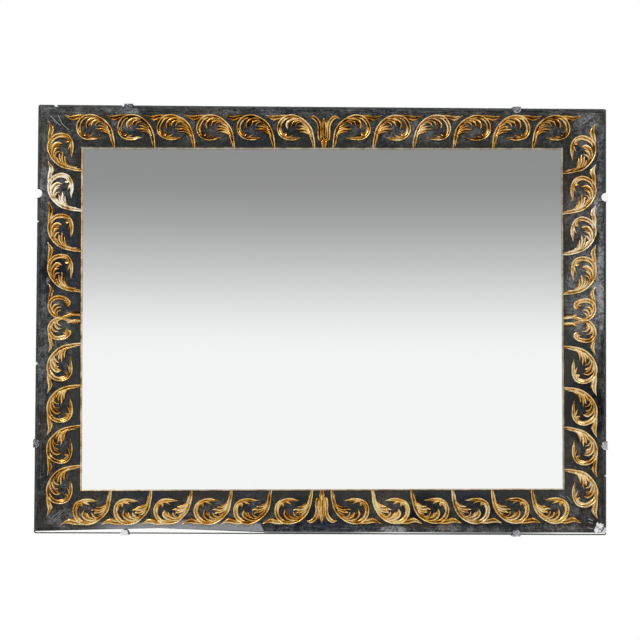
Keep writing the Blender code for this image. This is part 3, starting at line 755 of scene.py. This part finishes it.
def bevel_material():
    """Polished bevel: dark at the top and sides, painted shade; bright below, a painted reflection of
    the floor, with a painted highlight line and a painted reflection at the lower right corner.
    """
    make, place = new_material("polished_bevel")
    x, _, z = place.split()
    smear = place.noise(60, 4, 0.6)
    height = z + HALF_HEIGHT
    first, most, last = FLOOR_REFLECTION_WIDTHS
    rising = x.ramp(-HALF_WIDTH, WIDE_BEVEL_MOST_AT, first, most, "LINEAR")
    falling = x.ramp(WIDE_BEVEL_MOST_AT, WIDE_BEVEL_TO, most, last, "LINEAR")
    # Bright metal in a wedge along the left part of the bottom: painted reflection of the floor
    floor_reflection = (height < rising.smaller(falling)) * (x < WIDE_BEVEL_TO)
    # A thin painted highlight line along the rest of the bottom
    line = height.ramp(0.0050, 0.0058, 1.0, 0.0)
    highlight_tone = x.ramp(-0.2, 0.6, kind="LINEAR").colors(grey_stops(HIGHLIGHT_LINE_TONES))
    line *= highlight_tone * (x > WIDE_BEVEL_TO)
    # Bright metal at the lower right corner: painted reflection
    corner = x.ramp(0.590, 0.593) * z.ramp(-0.439, -0.431, 0.9, 0.0)
    bright = floor_reflection.larger(line).larger(corner)
    # Elsewhere a dull dark grey stands in for the dim room the bevel faces: painted shade
    dark = smear.ramp(0.35, 0.7).mix((0.020, 0.021, 0.020), (0.085, 0.088, 0.086))
    return make.finish(
        Base_Color=bright.mix(dark, (1.0, 1.0, 1.0)),
        Metallic=bright,
        Roughness=smear.ramp(0.3, 0.7, 0.05, 0.16),
        Specular_IOR_Level=0.30,
    )


def ground_edge_material():
    """Ground rim of the glass, dull dark grey-green, and its painted back."""
    make, place = new_material("ground_edge")
    grain = place.noise(600, 2, 0.6)
    cloud = place.noise(40, 3, 0.6)
    grey = grain * 0.5 + cloud * 0.5
    return make.finish(
        Base_Color=grey.mix((0.014, 0.018, 0.016), (0.075, 0.090, 0.083)),
        Roughness=grain.ramp(0.3, 0.7, 0.35, 0.6),
        Specular_IOR_Level=0.2,
        Normal=make.bump(grain, 0.3, 0.0003),
    )


def broken_material():
    """Fresh breaks in the glass: bright, whitish, faintly lilac, with ripples."""
    make, place = new_material("broken_glass")
    ripple = place.scaled((300, 300, 900)).noise(1, 4, 0.7, 0.6)
    return make.finish(
        Base_Color=ripple.colors((
            (0.30, (0.20, 0.19, 0.24)), (0.45, (0.62, 0.60, 0.70)), (0.60, (0.93, 0.92, 0.97)),
        )),
        Roughness=ripple.ramp(0.3, 0.7, 0.12, 0.35),
        Normal=make.bump(ripple, 0.6, 0.0008),
    )


def chrome_material():
    """Chromed strip, finely scratched and stained in places; white on some clips, a painted
    reflection, and with a painted shadow along one edge.
    """
    make, place = new_material("chromed_strip")
    cloud = place.noise(240, 5, 0.75)
    # White on some clips: painted reflection
    white = make.attribute("white")
    limit = 0.60 - make.attribute("stain") * 0.20
    stain = (cloud - limit).ramp(-0.05, 0.04) * (1.0 - white)
    scratches = place.scaled((900, 900, 120)).noise(1, 3, 0.7)
    bright = white.mix((0.88, 0.88, 0.93), (1.0, 1.0, 1.0))
    color = stain.mix(bright, (0.14, 0.135, 0.15))
    return make.finish(
        # Dark along one edge of the tongue: painted shadow
        Base_Color=make.attribute("outline").mix(color, (0.04, 0.04, 0.045)),
        Metallic=0.70 - white * 0.70,
        Roughness=cloud.ramp(0.3, 0.7, 0.14, 0.34),
        Normal=make.bump(scratches, 0.12, 0.0002),
    )


def wood_material():
    """Plywood board: long grain on the faces, thin plies on the edges, stains and dust."""
    make, place = new_material("backing_wood")
    _, y, _ = place.split()
    facing = make.out("ShaderNodeNewGeometry", output="Normal").split()[1]
    on_edge = abs(facing).ramp(0.4, 0.6, 1.0, 0.0)
    plies = y.math("PINGPONG", 0.0012).ramp(0.0003, 0.0009)
    waves = place.scaled((1.4, 1.0, 22)).noise(3, 4, 0.55, 1.2)
    fibre = place.scaled((14, 30, 700)).noise(1, 3, 0.6)
    rings = (waves * 9.0).math("FRACT")
    grain = (rings * 0.5).math("ADD", fibre * 0.6, clamp=True)
    grain = grain * (1.0 - on_edge) + plies * on_edge
    stain = place.noise(5, 5, 0.6).ramp(0.45, 0.75)
    wood = grain.colors((
        (0.0, (0.13, 0.072, 0.036)), (0.45, (0.29, 0.175, 0.092)), (1.0, (0.43, 0.29, 0.165)),
    ))
    return make.finish(
        Base_Color=(stain * 0.55).mix(wood, (0.12, 0.075, 0.045)),
        Roughness=fibre.ramp(0.3, 0.7, 0.62, 0.86),
        Normal=make.bump(grain, 0.35, 0.0005),
    )


def floor_material():
    make, _ = new_material("pale_floor")
    return make.finish(Base_Color=(0.92, 0.92, 0.91, 1), Roughness=0.9)


def add_piece(name, mesh, replaced, slot, *materials):
    obj = link(bpy.data.objects.new(name, mesh))
    for material in materials:
        mesh.materials.append(material)
    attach(obj, "root")
    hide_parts(*replaced)


def carved_rows(material):
    """The scrolls and tulips of each side of the border."""
    for row in ROWS:
        rng = np.random.default_rng(row.seed)
        relief = Relief()
        for number, (strokes, place) in enumerate(row_motifs(row)):
            if strokes is SCROLL:
                place.foot = place.foot + place.along * rng.normal(0, FOOT_SHIFT_MM) * MM
            worn = PALE_SCROLLS.get((row.name, number), 0)
            add_motif(relief, strokes, place, row, worn, rng)
        name = "gilt_carving_" + row.name
        add_piece(name, relief.mesh(name), ["gilt_ornament"], "old_gilding", material)


def fillet_line():
    """Places round the mirror, each with its way outward, mitred at the corners."""
    corners = CORNERS * (FILLET_X, FILLET_Z)
    stations, ways = [], []
    for start, end in zip(corners, np.roll(corners, -1, axis=0)):
        length = lengths(end - start)
        count = round(length / FILLET_STEP)
        stations.append(start + (end - start) * shares(count)[:-1, None])
        ways.append(np.repeat([(end - start) / length], count, axis=0))
    ways = np.vstack(ways)
    mitre = ways + np.roll(ways, 1, axis=0)
    mitre /= (mitre * ways).sum(1)[:, None]
    return np.vstack(stations), np.stack((mitre[:, 1], -mitre[:, 0]), 1)


def fillet(material):
    """The gilt fillet round the mirror: two facets, narrower along the bottom, dulled side by side
    with wear and painted shade.
    """
    rng = np.random.default_rng(7)
    stations, outward = fillet_line()
    across, lift, tone = np.array(FILLET_SECTION).T
    count, columns = len(stations), len(across)
    wander = np.convolve(rng.normal(0, 1, count + 8), np.ones(9) / 9, "valid")
    width = FILLET_HALF_WIDTH * (1 + FILLET_WIDTH_WANDER * wander)
    x, z = stations.T
    width[z < MM - FILLET_Z] *= FILLET_BOTTOM_WIDTH
    height = FILLET_HEIGHT * (1 + FILLET_HEIGHT_WANDER * np.clip(np.roll(wander, 40), -1, 0.6))
    flat = stations[:, None] + outward[:, None] * (width[:, None] * across)[..., None]
    depth = RELIEF_BASE - height[:, None] * lift
    points = np.stack((flat[..., 0], depth, flat[..., 1]), -1)
    number = np.arange(count * columns).reshape(count, columns)
    faces = loft_faces(number, np.roll(number, -1, axis=0))
    # Wear and painted shade along each side of the fillet
    worn = np.full(count, FILLET_WEAR_AND_SHADE["bottom"])
    worn[x < FILLET_BOTTOM_LEFT_TO] = FILLET_BOTTOM_LEFT_WEAR_AND_SHADE
    worn[x > FILLET_X - MM] = FILLET_WEAR_AND_SHADE["right"]
    worn[x < MM - FILLET_X] = FILLET_WEAR_AND_SHADE["left"]
    worn[z > FILLET_Z - MM] = FILLET_WEAR_AND_SHADE["top"]
    mesh = smooth_mesh(
        "gilt_fillet", points, faces, 50, tone=np.tile(tone, count),
        pale=np.full(count * columns, FILLET_PALE), worn=np.repeat(worn, columns),
    )
    mesh.transform(CARVING_PLACE)
    add_piece("gilt_fillet", mesh, ["gilt_ornament"], "old_gilding", material)


LEVEL_POINTS, UPRIGHT_POINTS, CORNER_POINTS = 400, 300, 6
FIELD_RINGS = 18

# Bites out of the glass's rim, in millimetres: where (x, z), half length and depth, and then the
# number of small ones with the ranges of their half lengths and depths
KNOWN_BITES = ((-564.5, 450, 4, 0.9), (-600, -95.8, 5, 0.9), (600, -440, 7, 0.6))
SMALL_BITES, SMALL_HALVES, SMALL_DEPTHS = 44, (2, 5), (0.15, 0.5)

# The flake off the lower right corner: middle, half sizes, lean, the ways of its sides, and depth
FLAKE_MIDDLE = (0.5838, -0.4355)
FLAKE_HALF_SIZES = (0.0070, 0.0108)
FLAKE_LEAN = math.radians(-20)
FLAKE_WAYS = (
    (math.cos(FLAKE_LEAN), math.sin(FLAKE_LEAN)), (-math.sin(FLAKE_LEAN), math.cos(FLAKE_LEAN)),
)
FLAKE_DEPTH = 0.0008


def loop(half_x, half_z, radius):
    """A rounded rectangle of as many points as every other loop, anticlockwise from the right."""
    centres = CORNERS * (half_x - radius, half_z - radius)
    points = []
    for quarter, centre in enumerate(centres):
        angles = math.pi / 2 * (quarter + shares(CORNER_POINTS))
        arc = centre + radius * np.column_stack((np.cos(angles), np.sin(angles)))
        count = UPRIGHT_POINTS if quarter % 2 else LEVEL_POINTS
        side = (centres[(quarter + 1) % 4] - centre) * shares(count)[1:-1, None]
        points += [arc, arc[-1] + side]
    return np.vstack(points)


def inward_of(points):
    way = np.roll(points, -1, axis=0) - np.roll(points, 1, axis=0)
    return np.stack((-way[:, 1], way[:, 0]), 1) / lengths(way)[:, None]


def bites(points, rng):
    """How deep each point of the glass's rim is broken in: many small bites, a few larger."""
    distance = np.cumsum(lengths(points - np.roll(points, 1, axis=0)))
    found = []
    for _ in range(SMALL_BITES):
        middle = rng.uniform(0, distance[-1])
        found.append((middle, rng.uniform(*SMALL_HALVES) * MM, rng.uniform(*SMALL_DEPTHS) * MM))
    for x, z, half, deep in KNOWN_BITES:
        nearest = np.argmin(lengths(points - np.array((x, z)) * MM))
        found.append((distance[nearest], half * MM, deep * MM))
    depth = np.zeros(len(points))
    for number, (middle, half, deep) in enumerate(found):
        away = (distance - middle) / half
        bite = deep * np.sqrt(clipped(1 - away**2))
        if number < SMALL_BITES:
            bite[points[:, 1] < 0.003 - HALF_HEIGHT] = 0
        depth = np.maximum(depth, bite)
    return depth


def wide_bevel(points):
    """How much wider the bevel is than elsewhere: a slow bulge along the left of the bottom."""
    x, z = points.T
    rising = (x - WIDE_BEVEL_FROM) / (WIDE_BEVEL_MOST_AT - WIDE_BEVEL_FROM)
    falling = (WIDE_BEVEL_TO - x) / (WIDE_BEVEL_TO - WIDE_BEVEL_MOST_AT)
    bulge = clipped(np.minimum(rising, falling)) ** WIDE_BEVEL_POWER
    return WIDE_BEVEL_MORE * bulge * (z < -HALF_HEIGHT + 0.002)


def with_worn_corner(points):
    """The bevel's inner line, rounder at the lower right corner."""
    reach = BEVEL_WIDTH + WORN_CORNER
    centre = np.array((HALF_WIDTH - reach, -HALF_HEIGHT + reach))
    offset = points - centre
    far = lengths(offset)[:, None]
    beyond = (offset[:, :1] > 0) & (offset[:, 1:] < 0) & (far > WORN_CORNER)
    return np.where(beyond, centre + offset * WORN_CORNER / np.maximum(far, WORN_CORNER), points)


def turned(points):
    places = [CARVING_PLACE @ Vector((x, 0, z)) for x, z in points]
    return np.array([(place.x, place.z) for place in places])


def flake(points, rng):
    """How deep the flake at the lower right corner goes at each point."""
    reach = abs((points - FLAKE_MIDDLE) @ np.transpose(FLAKE_WAYS)) / FLAKE_HALF_SIZES
    inside = clipped(1 - reach.max(1))
    return FLAKE_DEPTH * np.minimum(inside * 3, 1) * rng.uniform(0.45, 1, len(points))


def plate_rings():
    """Loops from the back of the glass over its rim to the fillet, each with its depths."""
    rng = np.random.default_rng(11)
    rim = loop(HALF_WIDTH, HALF_HEIGHT, GLASS_CORNER)
    inward = inward_of(rim)
    bite = bites(rim, rng)
    bevel_back = GLASS_FRONT + BEVEL_DEPTH
    back = loop(HALF_WIDTH - BACK_CHAMFER, HALF_HEIGHT - BACK_CHAMFER, GLASS_CORNER)
    bevel_top = loop(HALF_WIDTH - BEVEL_WIDTH, HALF_HEIGHT - BEVEL_WIDTH, BEVEL_CORNER)
    bevel_top = with_worn_corner(bevel_top + inward * wide_bevel(rim)[:, None])
    chamfer = rim + inward * (FRONT_CHAMFER + bite * 1.5)[:, None]
    sight = turned(loop(FILLET_X, FILLET_Z, 0.0005))
    rings = [
        (back, np.full(len(rim), GLASS_BACK)),
        (rim, np.full(len(rim), GLASS_BACK - BACK_CHAMFER)),
        (rim + inward * (bite * 0.4)[:, None], bevel_back + bite * 1.2),
        (chamfer, bevel_back - FRONT_CHAMFER * 0.28 + bite * 0.3),
        (bevel_top - inward * ARRIS_WIDTH, np.full(len(rim), GLASS_FRONT + 0.0002)),
    ]
    for t in shares(FIELD_RINGS) ** 1.5:
        points = bevel_top * (1 - t) + sight * t
        rings.append((points, GLASS_FRONT + flake(points, rng)))
    return rings, bite


def glass_sheet():
    """The whole sheet: back, ground rim, polished bevel, dark border and the silvered middle."""
    rings, bite = plate_rings()
    count = len(bite)
    number = np.arange(len(rings) * count).reshape(len(rings), count)
    points = [np.stack((flat[:, 0], depth, flat[:, 1]), 1) for flat, depth in rings]
    edge, bevel, border, middle, broken = range(5)
    looks_by_ring = [edge, edge, edge, bevel, bevel] + [border] * FIELD_RINGS
    bitten = (bite > 0.0003) & (np.roll(bite, -1) > 0.0003)
    faces, looks = [], []
    for look, first, second in zip(looks_by_ring, number, number[1:]):
        faces += np.stack((first, np.roll(first, -1), np.roll(second, -1), second), 1).tolist()
        looks.append(np.where(bitten & (look == edge), broken, look))
    caps = ((number[-1], GLASS_FRONT, middle), (number[0][::-1], GLASS_BACK, edge))
    for ring, depth, look in caps:
        centre = number.size + (look == edge)
        points.append([(0, depth, 0)])
        faces += [(centre, *pair) for pair in zip(ring.tolist(), np.roll(ring, -1).tolist())]
        looks.append(np.full(count, look))
    mesh = smooth_mesh("glass_sheet", points, faces, 14)
    mesh.polygons.foreach_set("material_index", np.concatenate(looks))
    makers = (ground_edge_material, bevel_material, border_material, mirror_material, broken_material)
    materials = [maker() for maker in makers]
    add_piece("glass_sheet", mesh, ["mirror_plate"], "mirror_glass", *materials)


# Clip: a bent strip with a domed round end on the glass and its foot let into the board's back
CLIP_HALF_WIDTH = 0.0092
CLIP_OVERLAP = 0.0105
CLIP_STRIP = 0.0015
CLIP_REACH = 0.0036
CLIP_BEND = 0.0026
CLIP_FOOT = 0.021
CLIP_FRONT, CLIP_BACK = -0.0201, -0.0004
CLIP_CROWN = 0.0006
CLIP_EDGE = 0.0005
CLIP_TIP, CLIP_TIP_DROP = 0.0020, 0.0006
# Painted shadow near the tongue's tip: how far in it reaches, and how softly it fades
CLIP_SHADOW_FROM_TIP, CLIP_SHADOW_FADE = 0.0030, 0.0008
CLIP_COLUMNS = 16
# How white each clip shows, a painted reflection, how stained it is, how dark its painted shadow is,
# and on which side
CLIP_LOOKS = {
    "clip_bottom_left": (0.9, 0.0, 1.0, -1), "clip_bottom_right": (0.2, 0.5, 0.7, 1),
    "clip_left_lower": (0.0, 0.6, 0.4, 1), "clip_left_upper": (1.0, 0.0, 0.0, 1),
    "clip_right_lower": (0.3, 0.4, 0.3, -1), "clip_right_upper": (1.0, 0.0, 0.0, 1),
    "clip_top_left": (0.0, 0.75, 0.5, 1), "clip_top_right": (0.1, 0.7, 0.4, -1),
}


def clip_stations():
    """Along the strip's outer face: way out from the edge, depth, outward normal, half width."""
    stations = []
    for degrees in (6, 14, 24, 36, 50, 64, 78, 90):
        angle = math.radians(degrees)
        out = -CLIP_OVERLAP + CLIP_HALF_WIDTH * (1 - math.cos(angle))
        stations.append((out, CLIP_FRONT, (0, -1), CLIP_HALF_WIDTH * math.sin(angle)))
    for start, depth in ((0, CLIP_FRONT + CLIP_BEND), (90, CLIP_BACK - CLIP_BEND)):
        for step in range(7):
            angle = math.radians(start + 15 * step)
            normal = (math.sin(angle), -math.cos(angle))
            out = CLIP_REACH - CLIP_BEND + CLIP_BEND * normal[0]
            stations.append((out, depth + CLIP_BEND * normal[1], normal, CLIP_HALF_WIDTH))
    for out in (-0.008, -0.0150, -CLIP_FOOT + CLIP_EDGE, -CLIP_FOOT):
        stations.append((out, CLIP_BACK, (0, 1), CLIP_HALF_WIDTH))
    return stations


def clip_mesh(name, white_reflection_share, stained, outlined, shadow_side):
    """One clip with the glass's edge at its origin and its way out along +Z."""
    t = np.sin(np.linspace(-math.pi / 2, math.pi / 2, CLIP_COLUMNS + 1))
    points, outline, white = [], [], []
    for out, depth, (normal_out, normal_depth), half in clip_stations():
        on_glass = clipped(-out / CLIP_OVERLAP * 2) * (normal_depth < 0)
        on_tongue = normal_depth == -1
        from_side = half * (1 - abs(t))
        round_off = CLIP_EDGE * clipped(1 - from_side / CLIP_EDGE) ** 2
        from_tip = clipped((out + CLIP_OVERLAP) / CLIP_TIP) if on_tongue else 1
        dome = CLIP_CROWN * on_glass * (1 - t**2) * from_tip
        # Painted shadow along one side of the tongue and near its tip
        beside = clipped((t * shadow_side - 0.62) / 0.2)
        near_tip = clipped((CLIP_SHADOW_FROM_TIP - CLIP_OVERLAP - out) / CLIP_SHADOW_FADE)
        dark = np.maximum(beside, near_tip * (t * shadow_side > -0.7)) * on_tongue
        for levels in (dome - round_off - CLIP_TIP_DROP * (1 - from_tip), 0 * t - CLIP_STRIP):
            places = (t * half, depth + levels * normal_depth, out + levels * normal_out)
            points.append(np.stack(places, 1))
            outline.append(outlined * dark)
            white.append(np.full(t.shape, white_reflection_share * (1 if normal_depth < -0.5 else 0.3)))
    number = np.arange(len(points) * len(t)).reshape(-1, 2, len(t))
    faces = closed_loft_faces(np.hstack((number[:, 0], number[:, 1, ::-1])))
    outline, white = np.concatenate(outline), np.concatenate(white)
    stain = np.full(number.size, stained)
    return smooth_mesh(name, points, faces, 40, outline=outline, white=white, stain=stain)


def clips():
    """The clips, each at the place of its solid and turned to its side."""
    material = chrome_material()
    for node, look in CLIP_LOOKS.items():
        low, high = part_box(node)
        middle = (low + high) / 2
        level = abs(middle.x) / HALF_WIDTH < abs(middle.z) / HALF_HEIGHT
        side = math.copysign(1, middle.z if level else middle.x)
        place = (middle.x, 0, side * HALF_HEIGHT) if level else (side * HALF_WIDTH, 0, middle.z)
        turn = (0 if side > 0 else math.pi) if level else side * math.pi / 2
        mesh = clip_mesh("bright_" + node, *look)
        mesh.transform(Matrix.Translation(place) @ Matrix.Rotation(turn, 4, "Y"))
        add_piece("bright_" + node, mesh, [node], "chromed_strip", material)


def board():
    """The backing board stays as the solid shows it, in plywood."""
    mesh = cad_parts["backing_board"].data
    mesh.materials.clear()
    mesh.materials.append(wood_material())


def light(name, place, size, power):
    data = bpy.data.lights.new(name, "AREA")
    data.size = size
    data.energy = power
    lamp = link(bpy.data.objects.new(name, data))
    lamp.location = place
    lamp.rotation_euler = (-Vector(place)).to_track_quat("-Z", "Y").to_euler()


# The bright panel that the mirror faces, as directions from the mirror (x, z), and how bright it
# is at heights from -0.05 to 0.15
PANEL_MIDDLE = (0.017, 0.029)
PANEL_HALF = (0.160, 0.113)
PANEL_TONES = (
    (0.0, 0.990), (0.245, 0.990), (0.311, 0.972), (0.377, 0.900), (0.443, 0.807), (0.509, 0.697),
    (0.575, 0.596), (0.641, 0.504), (0.706, 0.415), (0.770, 0.357), (0.836, 0.304), (1.0, 0.292),
)
# The room round it at heights from -1 to 1: white floor, grey walls, dim ceiling
ROOM_TONES = (
    (0.0, 1.0), (0.34, 1.0), (0.40, 0.60), (0.48, 0.62), (0.60, 0.36), (0.78, 0.20), (1.0, 0.30),
)


def studio():
    """A pale floor, two soft boxes, a bright panel before the mirror and a grey room round it."""
    world = bpy.data.worlds.new("studio")
    bpy.context.scene.world = world
    world.use_nodes = True
    make = NodeMaker(world.node_tree)
    x, toward_wall, z = make.out("ShaderNodeTexCoord", output="Generated").split()
    panel = z.ramp(-0.05, 0.15, kind="LINEAR").colors(grey_stops(PANEL_TONES))
    room = z.ramp(-1, 1, kind="LINEAR").colors(grey_stops(ROOM_TONES))
    beyond = 0.0
    for axis, middle, half in zip((x, z), PANEL_MIDDLE, PANEL_HALF):
        beyond = (abs(axis - middle) / half).larger(beyond)
    front = beyond.ramp(1.015, 1.05).mix(panel, (0.10, 0.10, 0.105))
    front = beyond.ramp(2.0, 3.0).mix(front, room)
    around = toward_wall.ramp(-0.15, 0.15).mix(front, (1.0, 1.0, 1.0))
    seen = make.out("ShaderNodeLightPath", output="Is Camera Ray")
    background = world.node_tree.nodes["Background"]
    make.put(background.inputs["Color"], seen.mix(around, (1.0, 1.0, 1.0)))
    half, height = 3.0, -1.45
    corners = [(x * half, y * half, height) for x, y in CORNERS]
    mesh = bpy.data.meshes.new("floor")
    mesh.from_pydata(corners, [], [(0, 1, 2, 3)])
    mesh.materials.append(floor_material())
    link(bpy.data.objects.new("floor", mesh))
    light("softbox_left", (-1.8, -1.15, 2.5), 1.2, 70)
    light("softbox_right", (2.0, -1.5, 2.2), 1.0, 35)


def camera():
    data = bpy.data.cameras.new("camera")
    data.lens = CAMERA_LENS
    cam = link(bpy.data.objects.new("camera", data))
    place = Matrix.Translation(CAMERA_PLACE)
    for degrees, axis in ((CAMERA_YAW, "Z"), (CAMERA_PITCH, "X"), (CAMERA_ROLL, "Y"), (90, "X")):
        place = place @ Matrix.Rotation(math.radians(degrees), 4, axis)
    cam.matrix_world = place
    bpy.context.scene.camera = cam


gilding = gilt_material()
carved_rows(gilding)
fillet(gilding)
glass_sheet()
clips()
board()
studio()
camera()
bpy.context.scene.view_settings.view_transform = "Standard"
